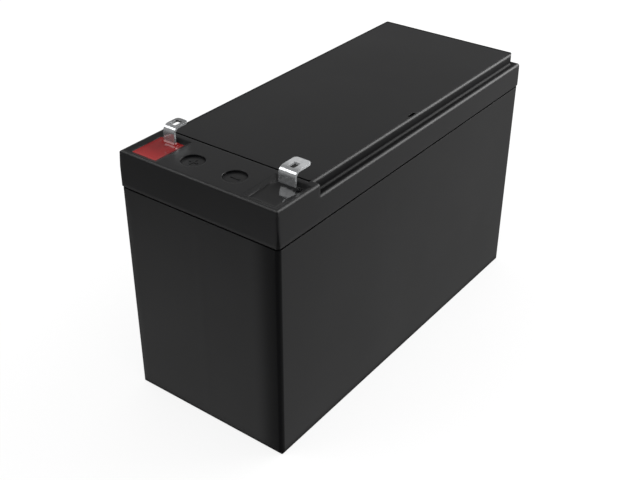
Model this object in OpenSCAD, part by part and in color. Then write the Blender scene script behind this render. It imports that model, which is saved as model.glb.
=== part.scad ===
// Sealed lead acid battery, 12 V, six cells: moulded container and lid, vent cover,
// rubber valve caps, plate stacks, cast straps and two bent blade terminals.
// Origin: middle of the underside. X runs along the length, with the terminals at the -X end,
// Y across the width, with the positive terminal at +Y, and Z up.

/* [Case] */
// Length over the lower edge of the lid
case_l = 151; // [145:1:175]
// Width over the lower edge of the lid
case_w = 65; // [62:1:80]
// Height from the underside to the top of the lid
case_h = 94; // [86:1:120]
// Height of the lid, from the seam to its top
lid_h = 13.3; // [12.9:0.1:16]

/* [Container] */
// Thickness of the outer walls
wall_t = 2.6; // [2:0.1:3.4]
// Thickness of the floor
floor_t = 2.4; // [1.6:0.1:4]
// Thickness of the walls between the cells
partition_t = 1.5; // [1:0.1:2]
// How far the container's wall stands inside the lower edge of the lid
wall_step = 0.15; // [0.1:0.05:0.6]
// Radius of the upright outer corners
corner_r = 1.5; // [1:0.5:5]
// Radius round the outer edge of the floor
floor_edge_r = 1; // [0.4:0.1:2]
// Radius of the upright corners inside each cell
cell_r = 1; // [0.5:0.1:2]

/* [Lid] */
// How far each lid wall leans in, from the seam to the top
lid_draft = 0.6; // [0.2:0.1:1.2]
// Radius of the lid's upright corners
lid_corner_r = 1.2; // [1:0.1:4]
// Radius of the lid's upper edges
lid_edge_r = 0.8; // [0.4:0.1:1]
// Height of the groove that runs round the seam
seam_groove_h = 0.7; // [0.3:0.1:1]
// Depth of the groove that runs round the seam
seam_groove_d = 0.6; // [0.3:0.1:1]
// Length of the full-width terminal deck
deck_l = 21; // [20:0.5:28]
// How far the ledges along both sides lie below the deck
ledge_drop = 4; // [2.5:0.1:5]
// Width of each ledge, from the lower edge of the lid to the platform
ledge_w = 3.2; // [2.4:0.1:5]
// Radius of the hollow at the foot of the platform
ledge_fillet_r = 0.8; // [0.5:0.1:1.5]
// Radius of the platform's upright corners
platform_corner_r = 2.6; // [1:0.1:4]
// Width of the rim between the platform's side and the vent cover
rim_w = 0.9; // [0.8:0.1:2]
// Width of the seat under the edge of the vent cover
seat_w = 1.6; // [1:0.1:3]
// Thickness of the web that closes the cells
web_t = 2.2; // [1.5:0.1:3]
// Depth of the valve chamber below the vent cover
chamber_h = 6.5; // [6:0.1:6.8]
// Thickness of the lid's other hidden walls
lid_wall_t = 2; // [1.5:0.1:2.5]

/* [Vent cover] */
// Thickness of the vent cover
cover_t = 2; // [1.2:0.1:3]
// How far the cover lies below the rim
cover_drop = 0.1; // [0:0.05:0.5]
// Gap between the cover and the rim
cover_gap = 0.12; // [0.05:0.01:0.3]
// Width of the open groove between the cover and the deck
deck_groove_w = 0.85; // [0.3:0.05:1]
// Radius of the cover's corners
cover_r = 1.2; // [0.5:0.1:3]
// Length of the gas slot in the cover's side edge
slot_l = 3.6; // [2:0.1:6]
// Depth of the gas slot in the cover's side edge
slot_w = 1.1; // [0.6:0.1:1.5]
// Distance of the gas slot from the middle of the length
slot_x = 3.2; // [-10:0.2:20]

/* [Valves] */
// Outer diameter of each vent tube
tube_d = 6.4; // [5:0.1:7]
// Bore of each vent tube
tube_bore = 3; // [2:0.1:4]
// Outer diameter of each rubber valve cap
cap_d = 10; // [8.5:0.1:11]
// Thickness of the cap's roof
cap_roof_t = 1.4; // [1:0.1:2]
// Clearance between the cap and its tube
cap_fit = 0.05; // [0.02:0.01:0.2]
// Air gap between the top of the tube and the cap's roof
cap_lift = 0.2; // [0.1:0.05:0.5]
// How much closer together the vent tubes stand along X than the cells
valve_gather = 2.9; // [1.4:0.5:6.4]
// Distance along X from the middle of the length to the middle pair of tubes
valve_shift = 4; // [2:0.5:8]

/* [Terminal wells] */
// Width of the flat border between the end of the lid and each well
well_border = 1.5; // [1.5:0.1:3]
// Gap between a terminal's upright leg and the well's wall behind it
leg_gap = 0.8; // [0.5:0.1:1.5]
// Gap between the side of the wider foot and the well's wall
foot_gap = 1.325; // [0.925:0.1:1.925]
// Width of the bevel round the well
bevel_w = 1.8; // [1:0.1:2]
// Height of the bevel round the well
bevel_h = 0.8; // [0.3:0.1:1]
// How far the resin lies below the deck
resin_drop = 1; // [0.8:0.1:1.5]
// Depth of each well below the deck
well_h = 7.4; // [7:0.1:8]
// Diameter of the polarity recesses
mark_d = 7.9; // [7:0.1:11]
// Depth of the polarity recesses
mark_h = 0.6; // [0.3:0.1:0.9]
// Distance of the polarity recesses from the end of the lid
mark_x = 9.4; // [8:0.1:12]

/* [Terminals] */
// Thickness of the terminal strip
blade_t = 0.8; // [0.6:0.1:1]
// Width of the negative blade
negative_w = 6.35; // [4:0.05:8]
// Length of the negative blade from its bend to its tip
negative_l = 8.5; // [7:0.1:10]
// Width of the positive blade
positive_w = 4.75; // [4:0.05:8]
// Length of the positive blade from its bend to its tip
positive_l = 7; // [7:0.1:10]
// Height of the blades above the deck
blade_rise = 5; // [5:0.1:8]
// Inner radius of the bends
bend_r = 0.7; // [0.4:0.1:1.2]
// Distance of the upright leg from the end of the lid
leg_x = 14.9; // [14.5:0.1:15.2]
// Distance of each terminal's middle from the side of the lid
terminal_inset = 8.5; // [8.1:0.1:8.9]
// Depth of the resin over the terminal's foot
foot_cover = 2.3; // [1.9:0.1:2.6]
// Extra width of the foot on each side of the blade
foot_extra = 0.6; // [0.2:0.1:1]
// Radius of the blade's tip corners
tip_r = 1.3; // [0.5:0.1:2]
// Length of the slot through each blade
blade_slot_l = 3.4; // [2:0.1:4]
// Width of the slot through each blade
blade_slot_w = 2.4; // [1:0.1:2.6]
// Radius of the slot's corners
blade_slot_r = 0.4; // [0.2:0.05:0.45]
// Distance from the bend to the slot
blade_slot_gap = 0.6; // [0.3:0.1:1]
// Diameter of the lead post under each terminal
post_d = 5; // [4:0.1:6]
// Diameter of the stub that rivets each terminal to its post
stub_d = 2.4; // [1.5:0.1:3]
// How far the stub stands above the foot
stub_rise = 0.3; // [0.1:0.1:0.8]
// Clearance round the post in the lid's bore
post_fit = 0.1; // [0.05:0.01:0.3]
// Section diameter of the rubber seal ring round each post
seal_d = 1.6; // [1:0.1:2]

/* [Plates] */
// Thickness of a positive plate
positive_t = 2.6; // [2:0.1:2.8]
// Thickness of a negative plate
negative_t = 1.8; // [1.4:0.1:2]
// Play of the whole stack between its cell's side walls, which the glass mats fill but for this
stack_play = 0.65; // [0.45:0.05:1.8]
// Gap between the plates' upright edges and the cell's end walls
plate_side_gap = 1.7; // [1.5:0.1:3.7]
// How far the tops of the plates lie below the container's rim
plate_drop = 11.3; // [9.8:0.1:26]
// How far the separators reach past the plates
mat_margin = 1; // [0.5:0.1:1.4]
// Width of a plate's lug
lug_w = 6; // [4:0.1:8]
// Distance of the lug from the plate's upright edge
lug_inset = 2.5; // [1:0.1:4]
// Height of the lugs
lug_h = 4; // [3:0.1:5]

/* [Straps] */
// Width of a cast strap across its lugs
strap_w = 8; // [8:0.1:10]
// Thickness of a cast strap
strap_t = 3.2; // [2.5:0.1:3.6]
// Radius of the strap's edges
strap_r = 1; // [0.4:0.1:1.2]
// Height of the upright that is welded through a partition
upright_h = 5.2; // [4.6:0.1:6]
// Thickness of that upright
upright_t = 2.2; // [1.5:0.1:2.2]
// Width of that upright
upright_w = 10; // [8:0.1:12]
// Diameter of the weld through a partition
weld_d = 4.4; // [3:0.1:4.8]
// Clearance round the straps and welds
weld_fit = 0.1; // [0.05:0.01:0.3]

/* [Hidden] */
$fn = 48;

// Plate counts of every cell: one more negative than positive, a mat between each two
positive_count = 4;
negative_count = 5;
mat_count = 8;
cell_count = 6;
cell_columns = 3;
// Extra reach of every cut past the faces it opens
cut = 1;
// Overlap of two cuts that open into each other
overlap = 0.1;
// Height above the centre of a ledge edge's round where the cut for the ledge begins
edge_start = 0.1;

// Heights
seam_z = case_h - lid_h;
ledge_z = case_h - ledge_drop;
cover_top_z = case_h - cover_drop;
cover_under_z = cover_top_z - cover_t;
chamber_floor_z = cover_under_z - chamber_h;
web_under_z = chamber_floor_z - web_t;
well_floor_z = case_h - well_h;
resin_z = case_h - resin_drop;
blade_z = case_h + blade_rise;

// Cells: three along the length in each of two rows
body_l = case_l - 2 * wall_step;
body_w = case_w - 2 * wall_step;
cell_l = (body_l - 2 * wall_t - 2 * partition_t) / cell_columns;
cell_w = (body_w - 2 * wall_t - partition_t) / 2;
cell_pitch_x = cell_l + partition_t;
cell_pitch_y = cell_w + partition_t;

// Platform and vent cover
deck_end_x = -case_l / 2 + deck_l;
platform_half_w = case_w / 2 - ledge_w;
platform_end_x = case_l / 2 - lid_draft;
cover_x0 = deck_end_x;
cover_x1 = platform_end_x - rim_w - cover_gap;
cover_half_w = platform_half_w - rim_w - cover_gap;

// Terminals and their wells, both of one size, which the wider negative foot sets
leg_face_x = -case_l / 2 + leg_x;
terminal_y = case_w / 2 - terminal_inset;
well_x0 = -case_l / 2 + well_border;
well_l = leg_face_x + blade_t + leg_gap + bevel_w - well_x0;
well_w = negative_w + 2 * (foot_extra + foot_gap + bevel_w);
foot_z = resin_z - foot_cover;
post_top_z = foot_z - blade_t;
blade_slot_x = leg_face_x + blade_t + bend_r + blade_slot_gap + blade_slot_l / 2;
stub_top_z = foot_z + stub_rise;
// Each polarity recess lies halfway between its well and the middle of the width
mark_y = (terminal_y - well_w / 2) / 2;

// Plate stacks: the mats share what the plates leave of the cell's width
stack_t = cell_w - stack_play;
separator_t = (stack_t - positive_count * positive_t - negative_count * negative_t) / mat_count;
stack_pitch = positive_t + negative_t + 2 * separator_t;
plate_w = cell_l - 2 * plate_side_gap;
plate_z0 = floor_t + mat_margin;
plate_z1 = seam_z - plate_drop;
plate_h = plate_z1 - plate_z0;
strap_z0 = plate_z1 + lug_h;
strap_z1 = strap_z0 + strap_t;
lug_from_wall = plate_side_gap + lug_inset + lug_w / 2;
weld_z = strap_z0 + upright_h / 2;

// Cells are numbered along the current's path: 1 to 3 in the +Y row, 4 to 6 back in the -Y row
function column(n) = n <= cell_columns ? n - 1 : cell_count - n;
function row_sign(n) = n <= cell_columns ? 1 : -1;
function cell_x(n) = (column(n) - (cell_columns - 1) / 2) * cell_pitch_x;
function cell_y(n) = row_sign(n) * cell_pitch_y / 2;
function positive_side(n) = -row_sign(n);
function valve_x(n) = valve_shift + (column(n) - (cell_columns - 1) / 2) * (cell_pitch_x - valve_gather);
function lug_x(n, side) = cell_x(n) + side * (cell_l / 2 - lug_from_wall);

// The posts stand on the straps of the two end cells, which lie side by side
post_x = lug_x(1, -1);

// Flat outline with rounded corners, centred on the origin
module rounded_outline(l, w, r) {
    square([l - 2 * r, w], center = true);
    square([l, w - 2 * r], center = true);
    for (sx = [-1, 1], sy = [-1, 1])
        translate([sx * (l / 2 - r), sy * (w / 2 - r)])
            circle(r = r);
}

// Upright section that leans from one half width to another and has two rounded upper corners
module leaning_section(half_low, half_high, z_low, z_high, r) {
    lean = (half_low - half_high) / (z_high - z_low);
    slope = sqrt(1 + lean * lean);
    arc_x = half_high + lean * r - slope * r;
    arc_z = z_high - r;
    touch_x = arc_x + r / slope;
    touch_z = arc_z + lean * r / slope;
    polygon([
        [-half_low, z_low], [half_low, z_low], [touch_x, touch_z], [arc_x, z_high],
        [-arc_x, z_high], [-touch_x, touch_z]
    ]);
    for (s = [-1, 1])
        translate([s * arc_x, arc_z])
            circle(r = r);
}

// A section drawn in Y and Z, run along X from x0 to x1
module along_x(x0, x1) {
    translate([x0, 0, 0])
        rotate([90, 0, 90])
            linear_extrude(height = x1 - x0)
                children();
}

// A section drawn in X and Z, run along Y from y0 to y1
module along_y(y0, y1) {
    translate([0, y1, 0])
        rotate([90, 0, 0])
            linear_extrude(height = y1 - y0)
                children();
}

// The six cells' inside, from z0 to z1
module cell_spaces(z0, z1) {
    for (n = [1 : cell_count])
        translate([cell_x(n), cell_y(n), z0])
            linear_extrude(height = z1 - z0)
                rounded_outline(cell_l, cell_w, cell_r);
}

// Holes through the walls between the cells, one for each weld
module weld_paths(d, reach) {
    for (n = [1 : cell_count - 1])
        weld_bar(n, d, reach);
}

// The round bar from cell n to the next one. It passes each face of the wall by reach, and starts
// a length root further back, inside the upright of cell n
module weld_bar(n, d, reach, root = 0) {
    half = partition_t / 2 + reach;
    if (column(n) != column(n + 1))
        translate([(cell_x(n) + cell_x(n + 1)) / 2, cell_y(n), weld_z])
            rotate([0, column(n + 1) > column(n) ? 90 : -90, 0])
                translate([0, 0, -half - root])
                    cylinder(d = d, h = 2 * half + root);
    else
        translate([lug_x(n, 1), 0, weld_z])
            rotate([90, 0, 0])
                translate([0, 0, -half - root])
                    cylinder(d = d, h = 2 * half + root);
}

module container() {
    color("#2b2b2c")
    difference() {
        intersection() {
            linear_extrude(height = seam_z)
                rounded_outline(body_l, body_w, corner_r);
            along_x(-case_l, case_l)
                mirror([0, 1])
                    leaning_section(body_w / 2, body_w / 2, -seam_z, 0, floor_edge_r);
            along_y(-case_w, case_w)
                mirror([0, 1])
                    leaning_section(body_l / 2, body_l / 2, -seam_z, 0, floor_edge_r);
        }
        cell_spaces(floor_t, seam_z + cut);
        weld_paths(weld_d + 2 * weld_fit, cut);
    }
}

// Outer form of the lid: one drafted block, cut down to a ledge along each long side
module lid_form() {
    difference() {
        intersection() {
            along_x(-case_l, case_l)
                leaning_section(case_w / 2, case_w / 2 - lid_draft, seam_z, case_h, lid_edge_r);
            along_y(-case_w, case_w)
                leaning_section(case_l / 2, case_l / 2 - lid_draft, seam_z, case_h, lid_edge_r);
            translate([0, 0, seam_z])
                linear_extrude(height = lid_h)
                    rounded_outline(case_l, case_w, lid_corner_r);
        }
        for (m = [0, 1])
            mirror([0, m, 0]) {
                along_x(deck_end_x, case_l)
                    ledge_cut_section();
                platform_corner_cut();
            }
    }
}

// What is cut away above the ledge, in Y and Z: the ledge's outer edge and the platform's upper
// edge are left round, and the platform's foot runs into the ledge in a hollow
module ledge_cut_section() {
    ledge_half_w = case_w / 2 - lid_draft * (ledge_z - seam_z) / lid_h;
    difference() {
        translate([0, ledge_z - lid_edge_r + edge_start])
            square([case_w, case_h]);
        leaning_section(case_w / 2, ledge_half_w, seam_z, ledge_z, lid_edge_r);
        leaning_section(platform_half_w, platform_half_w, seam_z, case_h, lid_edge_r);
        translate([platform_half_w, ledge_z])
            difference() {
                translate([-cut, -cut])
                    square(ledge_fillet_r + cut);
                translate([ledge_fillet_r, ledge_fillet_r])
                    circle(r = ledge_fillet_r);
            }
    }
}

// What is cut away to round the platform's upright corner at the far end
module platform_corner_cut() {
    r = platform_corner_r;
    translate([platform_end_x - r, platform_half_w - r, ledge_z])
        linear_extrude(height = case_h)
            difference() {
                square(r + ledge_fillet_r);
                circle(r = r);
            }
}

// One terminal well: the bevel, the straight pocket below it and the bore for the post
module well_cut() {
    inner_l = well_l - 2 * bevel_w;
    inner_w = well_w - 2 * bevel_w;
    middle_x = well_x0 + well_l / 2;
    lean = bevel_w / bevel_h;
    intersection() {
        along_y(0, case_w)
            translate([middle_x, case_h])
                polygon([
                    [-inner_l / 2, -bevel_h], [inner_l / 2, -bevel_h],
                    [well_l / 2 + lean * cut, cut], [-well_l / 2 - lean * cut, cut]
                ]);
        along_x(-case_l, 0)
            translate([terminal_y, case_h])
                polygon([
                    [-inner_w / 2, -bevel_h], [inner_w / 2, -bevel_h],
                    [well_w / 2 + lean * cut, cut], [-well_w / 2 - lean * cut, cut]
                ]);
    }
    translate([middle_x - inner_l / 2, terminal_y - inner_w / 2, well_floor_z])
        cube([inner_l, inner_w, well_h - bevel_h + overlap]);
    translate([post_x, terminal_y, web_under_z - cut])
        cylinder(d = post_d + 2 * post_fit, h = well_h + web_t + cut);
}

// Hollow under the middle of the deck, between the two wells
module deck_hollow(s) {
    inner_y = terminal_y - well_w / 2 + bevel_w - lid_wall_t;
    x0 = cell_x(1) - cell_l / 2 + cell_r;
    x1 = deck_end_x - lid_wall_t;
    y0 = partition_t / 2 + cell_r;
    translate([x0, s > 0 ? y0 : -inner_y, seam_z])
        cube([x1 - x0, inner_y - y0, lid_h - lid_wall_t - mark_h]);
}

module lid() {
    color("#343435")
    union() {
        difference() {
            lid_form();
            cell_spaces(seam_z - cut, web_under_z);
            for (s = [-1, 1]) {
                deck_hollow(s);
                translate([-case_l / 2 + mark_x, s * mark_y, case_h - mark_h])
                    cylinder(d = mark_d, h = mark_h + cut);
            }
            well_cut();
            mirror([0, 1, 0])
                well_cut();
            cover_recess();
            valve_chamber();
            for (n = [1 : cell_count])
                translate([valve_x(n), cell_y(n), web_under_z - cut])
                    cylinder(d = tube_bore, h = web_t + 2 * cut);
            seam_groove();
        }
        vent_tubes();
    }
}

// The groove that is open all round the lid's lower edge
module seam_groove() {
    translate([0, 0, seam_z - cut])
        linear_extrude(height = seam_groove_h + cut)
            difference() {
                square([case_l + 2 * cut, case_w + 2 * cut], center = true);
                rounded_outline(case_l - 2 * seam_groove_d, case_w - 2 * seam_groove_d, lid_corner_r);
            }
}

// The recess that the vent cover lies in, with the open groove beside the deck
module cover_recess() {
    x0 = cover_x0 - deck_groove_w;
    x1 = cover_x1 + cover_gap;
    half = cover_half_w + cover_gap;
    translate([x0, -half, cover_under_z])
        cube([x1 - x0, 2 * half, case_h - cover_under_z + cut]);
}

// The chamber under the vent cover, which the six vent tubes open into
module valve_chamber() {
    x0 = cover_x0 + seat_w;
    x1 = cover_x1 - seat_w;
    half = cover_half_w - seat_w;
    translate([x0, -half, chamber_floor_z])
        cube([x1 - x0, 2 * half, chamber_h + overlap]);
}

module vent_tubes() {
    tube_h = chamber_h - cap_roof_t - cap_lift;
    for (n = [1 : cell_count])
        translate([valve_x(n), cell_y(n), chamber_floor_z])
            difference() {
                cylinder(d = tube_d, h = tube_h);
                translate([0, 0, -cut])
                    cylinder(d = tube_bore, h = tube_h + 2 * cut);
            }
}

module vent_cover() {
    l = cover_x1 - cover_x0;
    color("#383839")
    difference() {
        translate([(cover_x0 + cover_x1) / 2, 0, cover_under_z])
            linear_extrude(height = cover_t)
                rounded_outline(l, 2 * cover_half_w, cover_r);
        translate([slot_x - slot_l / 2, -cover_half_w - cut, cover_under_z - cut])
            cube([slot_l, slot_w + cut, cover_t + 2 * cut]);
    }
}

// Rubber cap of cell n, open at the bottom, over its vent tube
module valve_cap(n) {
    color("#1b1b1b")
    translate([valve_x(n), cell_y(n), chamber_floor_z])
        difference() {
            cylinder(d = cap_d, h = chamber_h);
            translate([0, 0, -cut])
                cylinder(d = tube_d + 2 * cap_fit, h = chamber_h - cap_roof_t + cut);
        }
}

// The bent strip in X and Z: foot, leg and blade, with round bends
module blade_section(length) {
    outer_r = bend_r + blade_t;
    // Blade and leg
    translate([leg_face_x + outer_r, blade_z - blade_t])
        square([length - outer_r, blade_t]);
    translate([leg_face_x, foot_z + bend_r])
        square([blade_t, blade_z - outer_r - foot_z - bend_r]);
    translate([leg_face_x + outer_r, blade_z - outer_r])
        quarter_ring(outer_r, -1, 1);
    // Foot, turned towards the end of the case
    translate([post_x - post_d / 2, foot_z - blade_t])
        square([leg_face_x - bend_r - post_x + post_d / 2, blade_t]);
    translate([leg_face_x - bend_r, foot_z + bend_r])
        quarter_ring(outer_r, 1, -1);
}

// A quarter of a ring, one strip thick, in the quadrant that the two signs give
module quarter_ring(outer_r, sx, sy) {
    intersection() {
        difference() {
            circle(r = outer_r);
            circle(r = outer_r - blade_t);
        }
        translate([sx > 0 ? 0 : -outer_r, sy > 0 ? 0 : -outer_r])
            square(outer_r);
    }
}

// One terminal: side is 1 for the positive, -1 for the negative
module terminal(side, width, length) {
    foot_w = width + 2 * foot_extra;
    tip_x = leg_face_x + length;
    color("#c9c6bd")
    difference() {
        intersection() {
            along_y(side * terminal_y - foot_w / 2, side * terminal_y + foot_w / 2)
                blade_section(length);
            union() {
                // Wide foot and lower leg, up to a little below the resin's surface
                translate([post_x - post_d / 2, side * terminal_y - foot_w / 2, post_top_z - cut])
                    cube([leg_x, foot_w, resin_z - foot_extra - post_top_z + cut]);
                translate([0, side * terminal_y, foot_z])
                    linear_extrude(height = blade_z - foot_z + cut)
                        blade_plan(width, tip_x);
            }
        }
        translate([blade_slot_x, side * terminal_y, blade_z - blade_t - cut])
            linear_extrude(height = blade_t + 2 * cut)
                rounded_outline(blade_slot_l, blade_slot_w, blade_slot_r);
        translate([post_x, side * terminal_y, post_top_z - cut])
            cylinder(d = stub_d + 2 * post_fit, h = blade_t + 2 * cut);
    }
}

// The blade seen from above: straight sides and two rounded tip corners
module blade_plan(width, tip_x) {
    x0 = leg_face_x - blade_t;
    translate([x0, -width / 2])
        square([tip_x - tip_r - x0, width]);
    translate([x0, -width / 2 + tip_r])
        square([tip_x - x0, width - 2 * tip_r]);
    for (s = [-1, 1])
        translate([tip_x - tip_r, s * (width / 2 - tip_r)])
            circle(r = tip_r);
}

// Lead post of one terminal, from z0 up, with the stub that the foot is riveted to
module lead_post(side, z0) {
    translate([post_x, side * terminal_y, z0])
        cylinder(d = post_d, h = post_top_z - z0);
    translate([post_x, side * terminal_y, post_top_z - cut])
        cylinder(d = stub_d, h = stub_top_z - post_top_z + cut);
}

// What a terminal takes up inside the resin
module terminal_space(side, width) {
    foot_w = width + 2 * foot_extra;
    along_y(side * terminal_y - foot_w / 2, side * terminal_y + foot_w / 2)
        intersection() {
            blade_section(positive_l);
            translate([-case_l, 0])
                square([case_l, resin_z - foot_extra]);
        }
    translate([leg_face_x, side * terminal_y - width / 2, foot_z + bend_r])
        cube([blade_t, width, case_h - foot_z]);
}

// Resin poured over the post and the foot, level with the bottom of the bevel
module resin_seal(side, width, paint) {
    inner_l = well_l - 2 * bevel_w;
    inner_w = well_w - 2 * bevel_w;
    color(paint)
    difference() {
        translate([well_x0 + bevel_w, side * terminal_y - inner_w / 2, well_floor_z])
            cube([inner_l, inner_w, resin_z - well_floor_z]);
        terminal_space(side, width);
        lead_post(side, well_floor_z - cut);
        translate([post_x, side * terminal_y, well_floor_z - cut])
            cylinder(d = post_d + 2 * seal_d, h = seal_d + cut);
    }
}

module seal_ring(side) {
    color("#191919")
    translate([post_x, side * terminal_y, well_floor_z + seal_d / 2])
        rotate_extrude()
            translate([post_d / 2 + seal_d / 2, 0])
                circle(d = seal_d);
}

// One kind of plate in cell n: a stack of flat plates, each with its lug
module plates(n, count, thickness, first, side) {
    for (i = [0 : count - 1])
        translate([cell_x(n), cell_y(n) - stack_t / 2 + first + i * stack_pitch, 0]) {
            translate([-plate_w / 2, 0, plate_z0])
                cube([plate_w, thickness, plate_h]);
            translate([lug_x(n, side) - cell_x(n) - lug_w / 2, 0, plate_z1 - cut])
                cube([lug_w, thickness, lug_h + cut]);
        }
}

module positive_plates(n) {
    color("#5b4636")
    plates(n, positive_count, positive_t, negative_t + separator_t, positive_side(n));
}

module negative_plates(n) {
    color("#7d8084")
    plates(n, negative_count, negative_t, 0, -positive_side(n));
}

// Glass mat separators of cell n, which stand on the floor between the plates
module separators(n) {
    mat_w = plate_w + 2 * mat_margin;
    mat_h = plate_h + 2 * mat_margin;
    color("#ecebe6")
    for (k = [0 : mat_count - 1]) {
        pair = floor(k / 2);
        behind = k % 2 == 0 ? negative_t : negative_t + separator_t + positive_t;
        translate([cell_x(n) - mat_w / 2, cell_y(n) - stack_t / 2 + behind + pair * stack_pitch, floor_t])
            cube([mat_w, separator_t, mat_h]);
    }
}

// Cast strap over one row of lugs in cell n, on the side that side gives
module strap_bar(n, side, count, thickness, first) {
    span = (count - 1) * stack_pitch + thickness;
    y0 = cell_y(n) - stack_t / 2 + first;
    along_y(y0, y0 + span)
        translate([lug_x(n, side), (strap_z0 + strap_z1) / 2])
            rounded_outline(strap_w, strap_t, strap_r);
}

// Upright of a strap against the wall that it is welded through, with the foot that joins them
module strap_upright(n, side, across, first) {
    if (across)
        strap_upright_across(n, side, first);
    else {
        wall_x = cell_x(n) + side * (cell_l / 2 - weld_fit);
        reach = lug_from_wall - weld_fit;
        translate([min(wall_x, wall_x - side * upright_t), cell_y(n) - upright_w / 2, strap_z0])
            cube([upright_t, upright_w, upright_h]);
        translate([min(wall_x, wall_x - side * reach), cell_y(n) - upright_w / 2, strap_z0])
            cube([reach, upright_w, strap_t]);
    }
}

// The same against the wall between the two rows
module strap_upright_across(n, side, first) {
    inward = row_sign(n);
    wall_y = cell_y(n) - inward * (cell_w / 2 - weld_fit);
    reach = (cell_w - stack_t) / 2 - weld_fit + first + strap_t;
    foot_w = strap_w - 2 * strap_r;
    translate([lug_x(n, side) - upright_w / 2, min(wall_y, wall_y + inward * upright_t), strap_z0])
        cube([upright_w, upright_t, upright_h]);
    translate([lug_x(n, side) - foot_w / 2, min(wall_y, wall_y + inward * reach), strap_z0])
        cube([foot_w, reach, strap_t]);
}

module positive_strap(n) {
    color("#8b8e93") {
        strap_bar(n, positive_side(n), positive_count, positive_t, negative_t + separator_t);
        if (n == 1)
            lead_post(1, strap_z0 + strap_r);
        else
            strap_upright(n, positive_side(n), column(n) == column(n - 1), negative_t + separator_t);
    }
}

module negative_strap(n) {
    color("#85888d") {
        strap_bar(n, -positive_side(n), negative_count, negative_t, 0);
        if (n == cell_count)
            lead_post(-1, strap_z0 + strap_r);
        else {
            strap_upright(n, -positive_side(n), column(n) == column(n + 1), 0);
            weld_bar(n, weld_d, weld_fit, upright_t / 2);
        }
    }
}

container();
lid();
vent_cover();
terminal(1, positive_w, positive_l);  // positive_terminal
terminal(-1, negative_w, negative_l);  // negative_terminal
resin_seal(1, positive_w, "#9c1414");  // positive_resin_seal
resin_seal(-1, negative_w, "#101010");  // negative_resin_seal
seal_ring(1);  // positive_seal_ring
seal_ring(-1);  // negative_seal_ring
for (n = [1 : cell_count]) {
    valve_cap(n);
    positive_plates(n);
    negative_plates(n);
    separators(n);
    positive_strap(n);
    negative_strap(n);
}
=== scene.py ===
# Sealed lead acid battery: the finish of every piece, the poured resin, the bent blades and the
# polarity signs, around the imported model. The sections follow the battery as it is put together.
import math

import bmesh
import bpy
from mathutils import Matrix, Vector


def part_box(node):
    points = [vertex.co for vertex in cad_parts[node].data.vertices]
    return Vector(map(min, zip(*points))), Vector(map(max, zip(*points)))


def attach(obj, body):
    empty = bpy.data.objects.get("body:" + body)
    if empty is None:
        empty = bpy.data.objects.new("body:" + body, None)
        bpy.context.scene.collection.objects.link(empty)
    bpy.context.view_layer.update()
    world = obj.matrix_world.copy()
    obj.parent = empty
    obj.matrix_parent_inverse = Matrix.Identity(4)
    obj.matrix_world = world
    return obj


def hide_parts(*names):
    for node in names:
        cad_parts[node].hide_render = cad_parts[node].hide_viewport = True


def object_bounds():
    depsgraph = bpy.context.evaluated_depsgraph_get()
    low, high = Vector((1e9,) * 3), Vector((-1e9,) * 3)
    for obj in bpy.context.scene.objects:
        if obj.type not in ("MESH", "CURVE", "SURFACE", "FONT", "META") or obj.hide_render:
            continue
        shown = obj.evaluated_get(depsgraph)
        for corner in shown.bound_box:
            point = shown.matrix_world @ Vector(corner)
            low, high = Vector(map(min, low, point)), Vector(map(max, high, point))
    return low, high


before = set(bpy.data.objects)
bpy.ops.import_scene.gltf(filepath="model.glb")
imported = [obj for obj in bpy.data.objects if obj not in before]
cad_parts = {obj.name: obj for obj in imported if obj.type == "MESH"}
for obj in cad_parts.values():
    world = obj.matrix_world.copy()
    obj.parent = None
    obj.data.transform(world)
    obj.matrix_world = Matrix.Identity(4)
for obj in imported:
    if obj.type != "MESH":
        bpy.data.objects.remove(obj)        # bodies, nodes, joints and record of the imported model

cad_low, cad_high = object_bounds()

# Positive plates. Each is a grid cast in lead alloy, filled with lead dioxide paste that is cured
# and charged until it is hard, so it is dark brown and as dull as unglazed clay. Four hang in each
# cell by their lugs.
mm = 0.001
cells = range(1, 7)
lead_dioxide = "#4d382b"
lead_dioxide_worn = "#64493a"
grid_cell_w = 6.0 * mm
grid_cell_h = 4.0 * mm
grid_wire = 0.9 * mm
paste_grain = 0.8 * mm


def linear(hex_code):
    """An sRGB hex colour as the linear colour that the shaders work in."""
    shares = [int(hex_code[i:i + 2], 16) / 255 for i in (1, 3, 5)]
    return [s / 12.92 if s <= 0.04045 else ((s + 0.055) / 1.055) ** 2.4 for s in shares] + [1.0]


def add_node(tree, kind, inputs=None, **settings):
    """Adds a node with its settings, and sets or links its inputs."""
    made = tree.nodes.new(kind)
    for name, value in settings.items():
        setattr(made, name, value)
    for name, value in (inputs or {}).items():
        if isinstance(value, bpy.types.NodeSocket):
            tree.links.new(value, made.inputs[name])
        else:
            made.inputs[name].default_value = value
    return made


def new_finish(name, **sockets):
    """A material with a Principled shader: its tree, its shader and its object coordinates."""
    material = bpy.data.materials.new(name)
    material.use_nodes = True
    tree = material.node_tree
    shader = tree.nodes["Principled BSDF"]
    for socket, value in sockets.items():
        shader.inputs[socket.replace("_", " ")].default_value = value
    place = add_node(tree, "ShaderNodeTexCoord").outputs["Object"]
    return material, tree, shader, place


def dress(node_name, material):
    """Gives a carried-over CAD node its finish."""
    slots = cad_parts[node_name].data.materials
    slots.clear()
    slots.append(material)


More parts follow.
